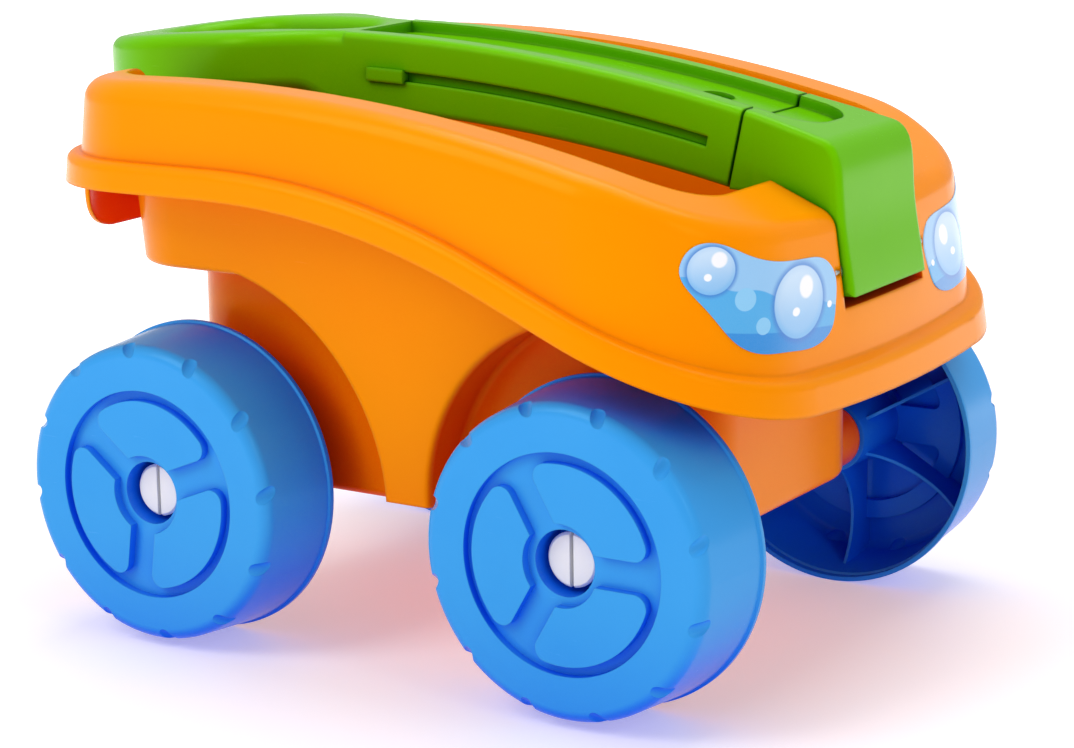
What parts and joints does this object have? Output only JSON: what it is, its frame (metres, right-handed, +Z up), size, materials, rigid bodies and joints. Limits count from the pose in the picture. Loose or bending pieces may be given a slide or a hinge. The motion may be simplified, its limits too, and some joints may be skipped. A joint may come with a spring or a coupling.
{
  "type": "kids pull wagon",
  "caption": "Toy pull wagon: open moulded tub with flared lip on big hollow wheels, with a curved telescopic handle that folds back over the tub.",
  "frame": {"origin": "on the floor under the middle of the wagon's overall length and width, handle folded back", "axes": "+X towards the front of the wagon, where the handle is hinged; +Y towards its left side; +Z up"},
  "size_m": [0.4692, 0.3332, 0.2996],
  "materials": {
    "orange_shell": "smooth moulded plastic, satin gloss",
    "green_handle": "smooth moulded plastic, satin gloss",
    "blue_wheel": "smooth moulded plastic, satin gloss",
    "white_axle": "plain moulded plastic",
    "headlight_print": "printed film sticker",
    "steel_pin": "plain steel"
  },
  "bodies": {
    "chassis": {"tub": "orange_shell", "headlight_decal_left": "headlight_print", "headlight_decal_right": "headlight_print", "front_axle": "white_axle", "rear_axle": "white_axle", "hinge_pin": "steel_pin"},
    "handle_lower": {"handle_arm": "green_handle", "slide_catch_left": "green_handle", "slide_catch_right": "green_handle"},
    "handle_upper": {"handle_grip": "green_handle"},
    "wheel_front_left": {"wheel_front_left": "blue_wheel"},
    "wheel_front_right": {"wheel_front_right": "blue_wheel"},
    "wheel_rear_left": {"wheel_rear_left": "blue_wheel"},
    "wheel_rear_right": {"wheel_rear_right": "blue_wheel"}
  },
  "joints": [
    {"name": "handle_fold", "type": "hinge", "parent": "chassis", "child": "handle_lower", "pos_m": [0.21445, 0, 0.203], "axis": [0, 1, 0], "range_deg": [0, 120]},
    {"name": "handle_slide", "type": "hinge", "parent": "handle_lower", "child": "handle_upper", "pos_m": [-0.07255, 0, -0.8124], "axis": [0, -1, 0], "range_deg": [0, 9.1]},
    {"name": "wheel_front_left_spin", "type": "hinge", "parent": "chassis", "child": "wheel_front_left", "pos_m": [0.13715, 0, 0.08], "axis": [0, 1, 0], "continuous": true},
    {"name": "wheel_front_right_spin", "type": "hinge", "parent": "chassis", "child": "wheel_front_right", "pos_m": [0.13715, 0, 0.08], "axis": [0, 1, 0], "continuous": true},
    {"name": "wheel_rear_left_spin", "type": "hinge", "parent": "chassis", "child": "wheel_rear_left", "pos_m": [-0.10625, 0, 0.08], "axis": [0, 1, 0], "continuous": true},
    {"name": "wheel_rear_right_spin", "type": "hinge", "parent": "chassis", "child": "wheel_rear_right", "pos_m": [-0.10625, 0, 0.08], "axis": [0, 1, 0], "continuous": true}
  ]
}
